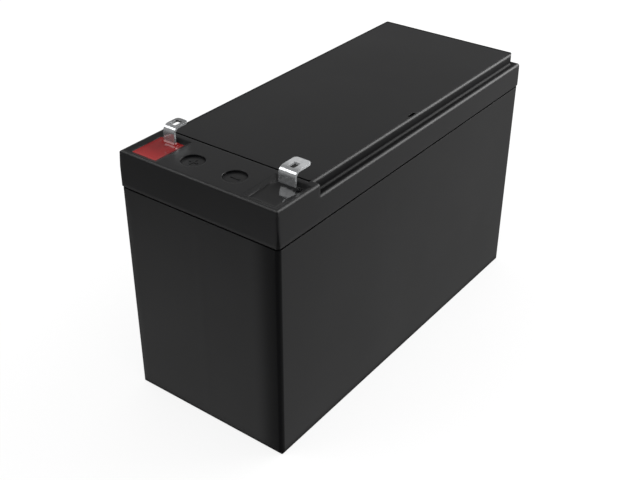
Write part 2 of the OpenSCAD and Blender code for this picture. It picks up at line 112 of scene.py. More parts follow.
def pasted_plate(name, colour, worn_colour):
    """Paste with a fine grain, and the grid's wires just showing through it as a lattice."""
    material, tree, shader, place = new_finish(name, Roughness=0.85)
    grain = add_node(tree, "ShaderNodeTexNoise", {"Vector": place, "Scale": 1 / paste_grain, "Detail": 3.0})
    shade = add_node(tree, "ShaderNodeMix", {
        "Factor": grain.outputs["Fac"], "A": linear(colour), "B": linear(worn_colour),
    }, data_type="RGBA")
    upright = add_node(tree, "ShaderNodeMapping", {"Vector": place, "Rotation": (math.pi / 2, 0, 0)})
    lattice = add_node(tree, "ShaderNodeTexBrick", {
        "Vector": upright.outputs["Vector"], "Scale": 1.0, "Mortar Size": grid_wire / 2,
        "Mortar Smooth": 1.0, "Brick Width": grid_cell_w, "Row Height": grid_cell_h,
    }, offset=0.0)
    relief = add_node(tree, "ShaderNodeBump", {
        "Height": lattice.outputs["Fac"], "Distance": 0.2 * mm, "Strength": 0.6,
    })
    tree.links.new(shade.outputs["Result"], shader.inputs["Base Color"])
    tree.links.new(relief.outputs["Normal"], shader.inputs["Normal"])
    return material


lead_dioxide_paste = pasted_plate("lead_dioxide_paste", lead_dioxide, lead_dioxide_worn)
for n in cells:
    dress(f"positive_plates_cell_{n}", lead_dioxide_paste)

# Negative plates. The same cast grid, thinner, filled with paste that charging turns to spongy
# metallic lead, so it is a flat mid grey. Five hang in each cell, one more than the positives.
spongy_lead = "#73767a"
spongy_lead_worn = "#888b8f"

spongy_lead_paste = pasted_plate("spongy_lead_paste", spongy_lead, spongy_lead_worn)
for n in cells:
    dress(f"negative_plates_cell_{n}", spongy_lead_paste)

# Separators. Mats of absorbent glass fibre that hold all the acid, laid down like paper and
# pressed between the plates. The fibres lie at random, which gives a soft matte white.
glass_fibre = "#ecebe5"
glass_fibre_shade = "#d6d4cc"
fibre_clump = 1.2 * mm

glass_mat, tree, shader, place = new_finish("absorbent_glass_mat", Roughness=0.95)
clumps = add_node(tree, "ShaderNodeTexNoise", {
    "Vector": place, "Scale": 1 / fibre_clump, "Detail": 5.0, "Distortion": 1.5,
})
shade = add_node(tree, "ShaderNodeMix", {
    "Factor": clumps.outputs["Fac"], "A": linear(glass_fibre_shade), "B": linear(glass_fibre),
}, data_type="RGBA")
relief = add_node(tree, "ShaderNodeBump", {
    "Height": clumps.outputs["Fac"], "Distance": 0.15 * mm, "Strength": 0.5,
})
tree.links.new(shade.outputs["Result"], shader.inputs["Base Color"])
tree.links.new(relief.outputs["Normal"], shader.inputs["Normal"])
for n in cells:
    dress(f"separators_cell_{n}", glass_mat)

# Straps. Lead alloy cast over each row of lugs, with an upright welded through the wall to the
# next cell, or a post for the terminal. The casting skin oxidises to a dull blue grey.
cast_lead_colour = "#8a8d93"
cast_lead_oxide = "#6f7379"
casting_mottle = 3.0 * mm

cast_lead, tree, shader, place = new_finish("cast_lead", Metallic=1.0, Roughness=0.55)
mottle = add_node(tree, "ShaderNodeTexNoise", {"Vector": place, "Scale": 1 / casting_mottle, "Detail": 4.0})
shade = add_node(tree, "ShaderNodeMix", {
    "Factor": mottle.outputs["Fac"], "A": linear(cast_lead_oxide), "B": linear(cast_lead_colour),
}, data_type="RGBA")
relief = add_node(tree, "ShaderNodeBump", {
    "Height": mottle.outputs["Fac"], "Distance": 0.1 * mm, "Strength": 0.5,
})
tree.links.new(shade.outputs["Result"], shader.inputs["Base Color"])
tree.links.new(relief.outputs["Normal"], shader.inputs["Normal"])
for n in cells:
    for pole in ("positive", "negative"):
        dress(f"{pole}_strap_cell_{n}", cast_lead)

# Container. One tall box moulded in black ABS, with the walls between its cells. The mould is
# spark-eroded to an even satin, which spreads every reflection and hides the flow of the plastic.
container_black = "#0d0d0e"
satin_grain = 0.35 * mm
flow_patch = 40.0 * mm
container_edge_round = 0.6 * mm
container_end_roll = 4.5 * mm
# Painted shade: the end walls lose gloss towards the minus side, which darkens their upright corners there.
minus_side_shade_starts_y = 20.0 * mm
minus_side_shade_full_y = 30.5 * mm
minus_side_shade_gloss = 0.2
container_crisp_z = 79.5 * mm
container_round_z = 74.5 * mm
crisp_edge_round = 0.2 * mm
# Painted shade: the reach of the occlusion mask that cuts gloss in grooves, and the gloss left at upright corners.
painted_shade_reach = 4.0 * mm
painted_corner_gloss = 0.3


def math_node(tree, operation, *values):
    """One math node on numbers or sockets, as its result."""
    return add_node(tree, "ShaderNodeMath", dict(enumerate(values)), operation=operation).outputs[0]


def moulded_abs(name, colour, roughness, edge_round, grain_depth):
    """Black ABS from a satin mould: a grain of pits, and patches where the sheen drifts a little.

    Painted shade: an ambient occlusion mask cuts the gloss in grooves and recesses, and upright corners lose gloss
    too.
    """
    material, tree, shader, place = new_finish(name)
    shader.inputs["Base Color"].default_value = linear(colour)
    # Painted shade: gloss falls where the occlusion mask finds grooves and recesses, and where a face turns at an
    # upright corner.
    openness = add_node(tree, "ShaderNodeAmbientOcclusion", {"Distance": painted_shade_reach}, samples=8)
    gloss = add_node(tree, "ShaderNodeMapRange", {
        "Value": openness.outputs["AO"], "From Min": 0.5, "From Max": 0.95,
        "To Min": 0.0, "To Max": 0.5,
    })
    facing = add_node(tree, "ShaderNodeSeparateXYZ", {0: place.node.outputs["Normal"]}).outputs
    both_ways = math_node(tree, "ABSOLUTE", math_node(tree, "MULTIPLY", facing["X"], facing["Y"]))
    at_corner = add_node(tree, "ShaderNodeMapRange", {
        "Value": both_ways, "From Min": 0.05, "From Max": 0.2, "To Min": 1.0, "To Max": painted_corner_gloss,
    })
    gloss = math_node(tree, "MULTIPLY", gloss.outputs["Result"], at_corner.outputs["Result"])
    tree.links.new(gloss, shader.inputs["Specular IOR Level"])
    patches = add_node(tree, "ShaderNodeTexNoise", {"Vector": place, "Scale": 1 / flow_patch, "Detail": 2.0})
    sheen = add_node(tree, "ShaderNodeMapRange", {
        "Value": patches.outputs["Fac"], "From Min": 0.3, "From Max": 0.7,
        "To Min": roughness - 0.03, "To Max": roughness + 0.03,
    })
    grain = add_node(tree, "ShaderNodeTexNoise", {"Vector": place, "Scale": 1 / satin_grain, "Detail": 2.0})
    soft_edge = add_node(tree, "ShaderNodeBevel", {"Radius": edge_round}, samples=4)
    relief = add_node(tree, "ShaderNodeBump", {
        "Height": grain.outputs["Fac"], "Distance": grain_depth, "Strength": 0.35,
        "Normal": soft_edge.outputs["Normal"],
    })
    tree.links.new(sheen.outputs["Result"], shader.inputs["Roughness"])
    tree.links.new(relief.outputs["Normal"], shader.inputs["Normal"])
    return material, tree, place, soft_edge, gloss


abs_container, tree, place, soft_edge, gloss = moulded_abs(
    "satin_black_abs_container", container_black, 0.42, container_edge_round, 0.01 * mm)
height = add_node(tree, "ShaderNodeSeparateXYZ", {0: place}).outputs["Z"]
facing = add_node(tree, "ShaderNodeSeparateXYZ", {0: place.node.outputs["Normal"]}).outputs["X"]
end_wall = add_node(tree, "ShaderNodeMath", {0: facing}, operation="ABSOLUTE").outputs[0]
roll = add_node(tree, "ShaderNodeMapRange", {
    "Value": end_wall, "From Min": 0.3, "From Max": 0.8,
    "To Min": container_edge_round, "To Max": container_end_roll,
}).outputs["Result"]
rounding = add_node(tree, "ShaderNodeMapRange", {
    "Value": height, "From Min": container_round_z, "From Max": container_crisp_z,
    "To Min": roll, "To Max": crisp_edge_round,
})
tree.links.new(rounding.outputs["Result"], soft_edge.inputs["Radius"])
# Painted shade: the end walls lose most of their gloss near the minus side, darkening the upright corners there.
to_negative = math_node(tree, "MULTIPLY", add_node(tree, "ShaderNodeSeparateXYZ", {0: place}).outputs["Y"], -1.0)
minus_side_shade = add_node(tree, "ShaderNodeMapRange", {
    "Value": to_negative, "From Min": minus_side_shade_starts_y, "From Max": minus_side_shade_full_y,
    "To Min": 1.0, "To Max": minus_side_shade_gloss,
}, interpolation_type="SMOOTHERSTEP").outputs["Result"]
end_wall_shade = add_node(tree, "ShaderNodeMapRange", {
    "Value": end_wall, "From Min": 0.3, "From Max": 0.8, "To Min": 1.0, "To Max": minus_side_shade,
}).outputs["Result"]
container_gloss = math_node(tree, "MULTIPLY", gloss, end_wall_shade)
tree.links.new(container_gloss, tree.nodes["Principled BSDF"].inputs["Specular IOR Level"])
dress("container", abs_container)

# Lid. A second ABS moulding, bonded on the container, with the terminal deck, its two wells and
# round recesses, and the raised platform between two ledges. Its mould is polished a little finer.
lid_black = "#0d0d0e"
lid_edge_round = 0.9 * mm
lid_corner_round = 1.8 * mm
deck_round_z = 91.8 * mm
# Painted shade: the hollow at the foot of the platform, along both ledges, loses most of its gloss.
foot_inner_y = 29.0 * mm
foot_outer_y = 31.3 * mm
foot_start_x = -54.7 * mm
foot_top_z = 93.3 * mm
foot_shade_gloss = 0.35

abs_lid, tree, place, soft_edge, gloss = moulded_abs(
    "satin_black_abs_lid", lid_black, 0.32, lid_edge_round, 0.008 * mm)
spot = add_node(tree, "ShaderNodeSeparateXYZ", {0: place}).outputs
off_middle = add_node(tree, "ShaderNodeMath", {0: spot["Y"]}, operation="ABSOLUTE").outputs[0]
# Painted shade: a mask over the hollow at the platform's foot cuts its gloss.
at_foot = None
for value, start, end in ((off_middle, foot_inner_y, foot_inner_y + 0.2 * mm),
                          (off_middle, foot_outer_y, foot_outer_y - 0.5 * mm),
                          (spot["X"], foot_start_x, foot_start_x + 0.1 * mm),
                          (spot["Z"], foot_top_z, foot_top_z - 0.5 * mm)):
    inside = add_node(tree, "ShaderNodeMapRange", {
        "Value": value, "From Min": start, "From Max": end, "To Min": 0.0, "To Max": 1.0,
    }).outputs["Result"]
    if at_foot is not None:
        inside = add_node(tree, "ShaderNodeMath", {0: at_foot, 1: inside}, operation="MULTIPLY").outputs[0]
    at_foot = inside
painted_foot_shade = add_node(tree, "ShaderNodeMapRange", {
    "Value": at_foot, "From Min": 0.0, "From Max": 1.0, "To Min": 1.0, "To Max": foot_shade_gloss,
}).outputs["Result"]
near_top = add_node(tree, "ShaderNodeMapRange", {
    "Value": spot["Z"], "From Min": deck_round_z, "From Max": deck_round_z + 0.6 * mm,
    "To Min": lid_corner_round, "To Max": lid_edge_round,
}).outputs["Result"]
rounding = add_node(tree, "ShaderNodeMapRange", {
    "Value": spot["X"], "From Min": foot_start_x - 1.0 * mm, "From Max": foot_start_x,
    "To Min": near_top, "To Max": lid_edge_round,
})
tree.links.new(rounding.outputs["Result"], soft_edge.inputs["Radius"])
lid_gloss = math_node(tree, "MULTIPLY", gloss, painted_foot_shade)
tree.links.new(lid_gloss, tree.nodes["Principled BSDF"].inputs["Specular IOR Level"])
dress("lid", abs_lid)

# Valve caps and seal rings. Black rubber, moulded: each cap is pushed over a vent tube and lifts
# a little to let gas out, and each ring is squeezed round a lead post below the resin.
rubber_black = "#191919"
rubber_bloom = "#242424"
bloom_patch = 2.0 * mm

rubber, tree, shader, place = new_finish("moulded_rubber", Roughness=0.7)
bloom = add_node(tree, "ShaderNodeTexNoise", {"Vector": place, "Scale": 1 / bloom_patch, "Detail": 3.0})
shade = add_node(tree, "ShaderNodeMix", {
    "Factor": bloom.outputs["Fac"], "A": linear(rubber_black), "B": linear(rubber_bloom),
}, data_type="RGBA")
tree.links.new(shade.outputs["Result"], shader.inputs["Base Color"])
for n in cells:
    dress(f"valve_cap_{n}", rubber)
for pole in ("positive", "negative"):
    dress(f"{pole}_seal_ring", rubber)

# Vent cover. A flat ABS plate welded over the valves, flush with the platform's rim, with a small
# notch at its edge where the gas leaves.
cover_black = "#0e0e0f"
cover_edge_round = 0.2 * mm

dress("vent_cover", moulded_abs("satin_black_abs_cover", cover_black, 0.40, cover_edge_round, 0.01 * mm)[0])

# Terminals. Brass strip, punched and bent twice on a press, then tinned bright. The foot is
# riveted to the lead post under the resin, and the slotted blade lies flat above the deck.
strip_t = 0.8 * mm
bend_inner_r = 1.6 * mm
slot_from_leg = 2.1 * mm
leg_face_x = -60.6 * mm
terminal_y = 24.0 * mm
foot_extra = 0.6 * mm
tip_corner_r = 1.3 * mm
slot_length = 3.4 * mm
slot_width = 2.4 * mm
slot_corner_r = 0.4 * mm
stub_hole_d = 2.6 * mm
pressed_edge_r = 0.12 * mm
bend_steps = 8
corner_steps = 5
tin_bright = "#d4d5d6"
tin_dull = "#b0b2b4"
tin_ripple = 1.6 * mm
rolling_mark = 0.25 * mm
# Painted light and shade: the tin's metal share changes along the blade and differs between the blades, so the
# negative blade's top is painted lighter towards its tip and the positive blade's darker.
metal_share_from_x = -59.0 * mm
metal_share_to_x = -56.0 * mm
bend_metal_share = 0.85
positive_tip_metal_share = 1.0
negative_tip_metal_share = 0.45


def strip_line(low, high):
    """The strip's middle line, as a function of the distance along it from the foot's end.

    It gives the place in X and Z, and the direction of the face that is up on foot and blade.
    """
    middle_r = bend_inner_r + strip_t / 2
    outer_r = bend_inner_r + strip_t
    foot_top = low.z + strip_t
    foot_run = leg_face_x - bend_inner_r - low.x
    leg_low = foot_top + bend_inner_r
    leg_run = high.z - outer_r - leg_low
    blade_run = high.x - leg_face_x - outer_r
    bend_run = middle_r * math.pi / 2
    stops = [0, foot_run, foot_run + bend_run, foot_run + bend_run + leg_run]
    stops += [stops[-1] + bend_run, stops[-1] + bend_run + blade_run]

    def at(s):
        if s <= stops[1]:
            return low.x + s, foot_top - strip_t / 2, 0, 1
        if s <= stops[2]:
            turn = (s - stops[1]) / middle_r
            x = leg_face_x - bend_inner_r + middle_r * math.sin(turn)
            return x, leg_low - middle_r * math.cos(turn), -math.sin(turn), math.cos(turn)
        if s <= stops[3]:
            return leg_face_x + strip_t / 2, leg_low + s - stops[2], -1, 0
        if s <= stops[4]:
            turn = (s - stops[3]) / middle_r
            x = leg_face_x + outer_r - middle_r * math.cos(turn)
            return x, high.z - outer_r + middle_r * math.sin(turn), -math.cos(turn), math.sin(turn)
        return leg_face_x + outer_r + s - stops[4], high.z - strip_t / 2, 0, 1

    return at, stops


def bent_blade(name, node_name, side, finish):
    """A blank with a stub hole and a slot, cut as a sheet of quads and bent along the strip's line."""
    low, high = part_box(node_name)
    at, stops = strip_line(low, high)
    foot_half = (high.y - low.y) / 2
    blade_half = foot_half - foot_extra
    tip = stops[-1]
    stub = stub_hole_d / 2
    stub_s = 2.5 * mm
    slot_start = stops[4] + slot_from_leg - bend_inner_r - strip_t
    slot_end = slot_start + slot_length

    def half_width(s):
        narrowing = min(max((s - stops[2]) / (1.0 * mm), 0), 1)
        half = foot_half + (blade_half - foot_half) * narrowing
        past = s - (tip - tip_corner_r)
        return half if past <= 0 else half - tip_corner_r + math.sqrt(max(tip_corner_r**2 - past**2, 0))

    def half_hole(s):
        if s < stops[1]:
            return max(math.sqrt(max(stub**2 - (s - stub_s) ** 2, 0)), 0.3 * stub)
        near_end = min(s - slot_start, slot_end - s)
        if near_end >= slot_corner_r:
            return slot_width / 2
        inset = slot_corner_r - max(near_end, 0)
        return slot_width / 2 - slot_corner_r + math.sqrt(max(slot_corner_r**2 - inset**2, 0))

    marks = set(stops)
    marks |= {stops[k] + (stops[k + 1] - stops[k]) * i / bend_steps for k in (1, 3) for i in range(bend_steps)}
    marks |= {stub_s + stub * math.sin(math.pi / 2 * i / corner_steps) for i in range(-corner_steps, corner_steps + 1)}
    marks |= {stops[2] + 1.0 * mm}
    for i in range(corner_steps + 1):
        lead = 1 - math.cos(math.pi / 2 * i / corner_steps)
        marks |= {slot_start + slot_corner_r * lead, slot_end - slot_corner_r * lead}
        marks |= {tip - tip_corner_r * lead}
    stations = []
    for s in sorted(marks):
        if not stations or s - stations[-1] > 0.004 * mm:
            stations.append(s)

    blank = bmesh.new()
    rows = []
    for s in stations:
        x, z, up_x, up_z = at(s)
        row = []
        for y in (-half_width(s), -half_hole(s), half_hole(s), half_width(s)):
            for level in (strip_t / 2, -strip_t / 2):
                row.append(blank.verts.new((x + up_x * level, side * terminal_y + y, z + up_z * level)))
        rows.append(row)
    for i in range(len(stations) - 1):
        middle = (stations[i] + stations[i + 1]) / 2
        a, b = rows[i], rows[i + 1]
        open_here = abs(middle - stub_s) < stub or slot_start < middle < slot_end
        for lane in (0, 1, 2):
            if lane == 1 and open_here:
                continue
            top, low_side = 2 * lane, 2 * lane + 1
            blank.faces.new((a[top], b[top], b[top + 2], a[top + 2]))
            blank.faces.new((a[low_side], a[low_side + 2], b[low_side + 2], b[low_side]))
    rims = [e for e in blank.edges if len(e.link_faces) == 1]
    top_of = {row[k]: row[k + 1] for row in rows for k in (0, 2, 4, 6)}
    for edge in rims:
        first, second = edge.verts
        if first in top_of and second in top_of:
            blank.faces.new((first, second, top_of[second], top_of[first]))
    bmesh.ops.recalc_face_normals(blank, faces=blank.faces)
    mesh = bpy.data.meshes.new(name)
    blank.to_mesh(mesh)
    blank.free()
    piece = bpy.data.objects.new(name, mesh)
    bpy.context.scene.collection.objects.link(piece)
    mesh.materials.append(finish)
    mesh.shade_smooth()
    edges = piece.modifiers.new("pressed_edges", "BEVEL")
    edges.width = pressed_edge_r
    edges.segments = 2
    edges.limit_method = "ANGLE"
    edges.angle_limit = math.radians(50)
    edges.harden_normals = True
    settle(piece)
    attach(piece, "root")
    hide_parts(node_name)


def settle(piece):
    """Turns a piece with modifiers into a plain mesh."""
    result = piece.evaluated_get(bpy.context.evaluated_depsgraph_get())
    mesh = bpy.data.meshes.new_from_object(result)
    piece.modifiers.clear()
    piece.data = mesh


def tinned_brass(name, tip_metal_share):
    """Tin on brass whose metal share changes from the bend towards the tip, a painted light and shade on the blade's
    top; each blade gets its own share at the tip.
    """
    material, tree, shader, place = new_finish(name)
    along = add_node(tree, "ShaderNodeSeparateXYZ", {0: place}).outputs["X"]
    metal_share = add_node(tree, "ShaderNodeMapRange", {
        "Value": along, "From Min": metal_share_from_x, "From Max": metal_share_to_x,
        "To Min": bend_metal_share, "To Max": tip_metal_share,
    })
    tree.links.new(metal_share.outputs["Result"], shader.inputs["Metallic"])
    ripple = add_node(tree, "ShaderNodeTexNoise", {"Vector": place, "Scale": 1 / tin_ripple, "Detail": 3.0})
    shade = add_node(tree, "ShaderNodeMix", {
        "Factor": ripple.outputs["Fac"], "A": linear(tin_dull), "B": linear(tin_bright),
    }, data_type="RGBA")
    dulling = add_node(tree, "ShaderNodeMapRange", {
        "Value": ripple.outputs["Fac"], "From Min": 0.3, "From Max": 0.7, "To Min": 0.2, "To Max": 0.1,
    })
    across = add_node(tree, "ShaderNodeMapping", {"Vector": place, "Scale": (0.1, 1.0, 0.1)})
    rolled = add_node(tree, "ShaderNodeTexNoise", {"Vector": across.outputs["Vector"], "Scale": 1 / rolling_mark})
    marks_relief = add_node(tree, "ShaderNodeBump", {
        "Height": rolled.outputs["Fac"], "Distance": 0.006 * mm, "Strength": 0.2,
    })
    relief = add_node(tree, "ShaderNodeBump", {
        "Height": ripple.outputs["Fac"], "Distance": 0.12 * mm, "Strength": 0.5,
        "Normal": marks_relief.outputs["Normal"],
    })
    tree.links.new(shade.outputs["Result"], shader.inputs["Base Color"])
    tree.links.new(dulling.outputs["Result"], shader.inputs["Roughness"])
    tree.links.new(relief.outputs["Normal"], shader.inputs["Normal"])
    return material


# The two blades get a lighter and a darker copy of one tin, a painted light and shade.
bent_blade("positive_blade", "positive_terminal", 1, tinned_brass("tinned_brass_positive", positive_tip_metal_share))
bent_blade("negative_blade", "negative_terminal", -1, tinned_brass("tinned_brass_negative", negative_tip_metal_share))

# Resin. Epoxy poured over each foot and post until it stands a little below the deck, red for
# plus and black for minus. It sets hard and glossy, and creeps up the walls and the leg.
epoxy_red = "#8e1f1f"
epoxy_red_deep = "#6d0508"
epoxy_black = "#0c0c0d"
epoxy_black_deep = "#080809"
pale_end_x = -74.0 * mm
dark_end_x = -66.0 * mm
creep_height = 0.2 * mm
creep_reach = 0.5 * mm
red_leg_creep_height = 0.8 * mm
red_leg_creep_reach = 0.5 * mm
black_leg_creep_height = 0.9 * mm
black_leg_creep_reach = 1.6 * mm
resin_step = 0.25 * mm


def poured_resin_tree():
    """A block whose upper side rises where it wets the four walls and the terminal's leg."""
    tree = bpy.data.node_groups.new("poured_resin", "GeometryNodeTree")
    for name in ("Length", "Width", "Depth", "Creep height", "Creep reach", "Leg creep height",
                 "Leg creep reach", "Step", "Leg X", "Leg Y",
                 "Leg half length", "Leg half width"):
        tree.interface.new_socket(name, in_out="INPUT", socket_type="NodeSocketFloat")
    tree.interface.new_socket("Place", in_out="INPUT", socket_type="NodeSocketVector")
    tree.interface.new_socket("Material", in_out="INPUT", socket_type="NodeSocketMaterial")
    tree.interface.new_socket("Geometry", in_out="OUTPUT", socket_type="NodeSocketGeometry")
    given = add_node(tree, "NodeGroupInput").outputs
    columns = math_node(tree, "DIVIDE", given["Length"], given["Step"])
    lines = math_node(tree, "DIVIDE", given["Width"], given["Step"])
    level = add_node(tree, "GeometryNodeMeshGrid", {
        "Size X": given["Length"], "Size Y": given["Width"], "Vertices X": columns, "Vertices Y": lines,
    }).outputs["Mesh"]
    down = add_node(tree, "ShaderNodeCombineXYZ", {"Z": math_node(tree, "MULTIPLY", given["Depth"], -1.0)})
    walls = add_node(tree, "GeometryNodeExtrudeMesh", {
        "Mesh": level, "Offset": down.outputs[0], "Offset Scale": 1.0, "Individual": False,
    })
    turned = add_node(tree, "GeometryNodeFlipFaces", {"Mesh": walls.outputs["Mesh"]})
    joined = add_node(tree, "GeometryNodeJoinGeometry")
    tree.links.new(level, joined.inputs[0])
    tree.links.new(turned.outputs[0], joined.inputs[0])
    block = add_node(tree, "GeometryNodeMergeByDistance", {
        "Geometry": joined.outputs[0], "Distance": 0.001 * mm,
    })
    spot = add_node(tree, "ShaderNodeSeparateXYZ", {0: add_node(tree, "GeometryNodeInputPosition").outputs[0]})
    x, y, z = spot.outputs[0], spot.outputs[1], spot.outputs[2]
    to_end = math_node(tree, "SUBTRACT", math_node(tree, "DIVIDE", given["Length"], 2.0),
                       math_node(tree, "ABSOLUTE", x))
    to_side = math_node(tree, "SUBTRACT", math_node(tree, "DIVIDE", given["Width"], 2.0),
                        math_node(tree, "ABSOLUTE", y))
    past_leg = []
    for value, leg_middle, leg_half in ((x, "Leg X", "Leg half length"), (y, "Leg Y", "Leg half width")):
        off = math_node(tree, "ABSOLUTE", math_node(tree, "SUBTRACT", value, given[leg_middle]))
        past_leg.append(math_node(tree, "MAXIMUM", math_node(tree, "SUBTRACT", off, given[leg_half]), 0.0))
    to_leg = math_node(tree, "SQRT", math_node(
        tree, "ADD", math_node(tree, "POWER", past_leg[0], 2.0), math_node(tree, "POWER", past_leg[1], 2.0)))
    climbs = []
    for distance, reach, climb in ((math_node(tree, "MINIMUM", to_end, to_side), "Creep reach", "Creep height"),
                                   (to_leg, "Leg creep reach", "Leg creep height")):
        fall = math_node(tree, "EXPONENT", math_node(
            tree, "MULTIPLY", math_node(tree, "DIVIDE", distance, given[reach]), -1.0))
        climbs.append(math_node(tree, "MULTIPLY", fall, given[climb]))
    rise = add_node(tree, "ShaderNodeCombineXYZ", {"Z": math_node(tree, "MAXIMUM", *climbs)})
    middle_depth = math_node(tree, "DIVIDE", math_node(tree, "MULTIPLY", given["Depth"], -1.0), 2.0)
    crept = add_node(tree, "GeometryNodeSetPosition", {
        "Geometry": block.outputs[0], "Selection": math_node(tree, "GREATER_THAN", z, middle_depth),
        "Offset": rise.outputs[0],
    })
    placed = add_node(tree, "GeometryNodeSetPosition", {"Geometry": crept.outputs[0], "Offset": given["Place"]})
    real = add_node(tree, "GeometryNodeRealizeInstances", {"Geometry": placed.outputs[0]})
    finished = add_node(tree, "GeometryNodeSetMaterial", {
        "Geometry": real.outputs[0], "Material": given["Material"],
    })
    add_node(tree, "NodeGroupOutput", {"Geometry": finished.outputs[0]})
    return tree


def grow(name, tree, sizes):
    """Makes one piece from a geometry tree, with its inputs set by name, and leaves a plain mesh."""
    piece = bpy.data.objects.new(name, bpy.data.meshes.new(name))
    bpy.context.scene.collection.objects.link(piece)
    modifier = piece.modifiers.new(name, "NODES")
    modifier.node_group = tree
    for item in tree.interface.items_tree:
        if item.in_out == "INPUT":
            modifier[item.identifier] = sizes[item.name]
    settle(piece)
    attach(piece, "root")
    return piece


def cast_epoxy(name, colour, deep_colour):
    """Poured epoxy: a hard gloss with faint long ripples, and a colour that grows paler towards the front end of the
    well, with random clouds.
    """
    material, tree, shader, place = new_finish(name, Roughness=0.07)
    cloud = add_node(tree, "ShaderNodeTexNoise", {"Vector": place, "Scale": 1 / (3.0 * mm), "Detail": 2.0})
    # The colour is paler towards minus X, the front end of each well.
    along = add_node(tree, "ShaderNodeSeparateXYZ", {0: place}).outputs["X"]
    to_front = add_node(tree, "ShaderNodeMapRange", {
        "Value": along, "From Min": dark_end_x, "From Max": pale_end_x, "To Min": 0.0, "To Max": 1.0,
    }).outputs["Result"]
    paleness = math_node(tree, "ADD", to_front, math_node(tree, "MULTIPLY", cloud.outputs["Fac"], 0.3))
    shade = add_node(tree, "ShaderNodeMix", {
        "Factor": paleness, "A": linear(deep_colour), "B": linear(colour),
    }, data_type="RGBA")
    relief = add_node(tree, "ShaderNodeBump", {
        "Height": cloud.outputs["Fac"], "Distance": 0.08 * mm, "Strength": 0.4,
    })
    tree.links.new(shade.outputs["Result"], shader.inputs["Base Color"])
    tree.links.new(relief.outputs["Normal"], shader.inputs["Normal"])
    return material


def pour(pole, side, material, leg_creep_height, leg_creep_reach):
    """Fills one well to the level of its CAD seal."""
    low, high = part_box(f"{pole}_resin_seal")
    blade_low, blade_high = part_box(f"{pole}_terminal")
    middle = (low + high) / 2
    piece = grow(f"{pole}_resin", resin_tree, {
        "Length": high.x - low.x, "Width": high.y - low.y, "Depth": high.z - low.z,
        "Creep height": creep_height, "Creep reach": creep_reach, "Leg creep height": leg_creep_height,
        "Leg creep reach": leg_creep_reach, "Step": resin_step,
        "Leg X": leg_face_x + strip_t / 2 - middle.x, "Leg Y": side * terminal_y - middle.y,
        "Leg half length": strip_t / 2, "Leg half width": (blade_high.y - blade_low.y) / 2 - foot_extra,
        "Place": (middle.x, middle.y, high.z), "Material": material,
    })
    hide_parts(f"{pole}_resin_seal")


resin_tree = poured_resin_tree()
pour("positive", 1, cast_epoxy("red_epoxy", epoxy_red, epoxy_red_deep),
     red_leg_creep_height, red_leg_creep_reach)
pour("negative", -1, cast_epoxy("black_epoxy", epoxy_black, epoxy_black_deep),
     black_leg_creep_height, black_leg_creep_reach)

# Polarity signs. A plus and a minus stand up from the floors of the two round recesses, moulded
# with the lid in the same black ABS, so only their edges catch the light.
recess_x = -66.1 * mm
recess_y = 8.55 * mm
recess_floor_z = 93.4 * mm
bar_length = 3.6 * mm
bar_width = 0.7 * mm
bar_height = 0.12 * mm


def sign_tree():
    """Bars with rounded ends, crossed at their middles and turned by equal angles."""
    tree = bpy.data.node_groups.new("moulded_sign", "GeometryNodeTree")
    for name, kind in (("Bars", "NodeSocketInt"), ("Bar length", "NodeSocketFloat"),
                       ("Bar width", "NodeSocketFloat"), ("Bar height", "NodeSocketFloat"),
                       ("Place", "NodeSocketVector"), ("Material", "NodeSocketMaterial")):
        tree.interface.new_socket(name, in_out="INPUT", socket_type=kind)
    tree.interface.new_socket("Geometry", in_out="OUTPUT", socket_type="NodeSocketGeometry")
    given = add_node(tree, "NodeGroupInput").outputs
    outline = add_node(tree, "GeometryNodeCurvePrimitiveQuadrilateral", {
        "Width": given["Bar width"], "Height": given["Bar length"],
    })
    rounded = add_node(tree, "GeometryNodeFilletCurve", {
        "Curve": outline.outputs[0], "Radius": math_node(tree, "MULTIPLY", given["Bar width"], 0.35),
        "Count": 4, "Limit Radius": True,
    }, mode="POLY")
    flat = add_node(tree, "GeometryNodeFillCurve", {"Curve": rounded.outputs[0]}, mode="NGONS").outputs[0]
    up = add_node(tree, "ShaderNodeCombineXYZ", {"Z": given["Bar height"]})
    raised = add_node(tree, "GeometryNodeExtrudeMesh", {
        "Mesh": flat, "Offset": up.outputs[0], "Offset Scale": 1.0, "Individual": False,
    })
    under = add_node(tree, "GeometryNodeFlipFaces", {"Mesh": flat})
    joined = add_node(tree, "GeometryNodeJoinGeometry")
    tree.links.new(raised.outputs["Mesh"], joined.inputs[0])
    tree.links.new(under.outputs[0], joined.inputs[0])
    bar = add_node(tree, "GeometryNodeMergeByDistance", {"Geometry": joined.outputs[0], "Distance": 0.001 * mm})
    middles = add_node(tree, "GeometryNodeMeshLine", {
        "Count": given["Bars"], "Start Location": (0, 0, 0), "Offset": (0, 0, 0),
    })
    turn = math_node(tree, "DIVIDE", math_node(
        tree, "MULTIPLY", add_node(tree, "GeometryNodeInputIndex").outputs[0], math.pi), given["Bars"])
    crossed = add_node(tree, "GeometryNodeInstanceOnPoints", {
        "Points": middles.outputs[0], "Instance": bar.outputs[0],
        "Rotation": add_node(tree, "ShaderNodeCombineXYZ", {"Z": turn}).outputs[0],
    })
    real = add_node(tree, "GeometryNodeRealizeInstances", {"Geometry": crossed.outputs[0]})
    fused = add_node(tree, "GeometryNodeMeshBoolean", {"Self Intersection": True},
                     operation="UNION", solver="EXACT")
    tree.links.new(real.outputs[0], fused.inputs["Mesh 2"])
    placed = add_node(tree, "GeometryNodeSetPosition", {"Geometry": fused.outputs[0], "Offset": given["Place"]})
    finished = add_node(tree, "GeometryNodeSetMaterial", {
        "Geometry": placed.outputs[0], "Material": given["Material"],
    })
    add_node(tree, "NodeGroupOutput", {"Geometry": finished.outputs[0]})
    return tree


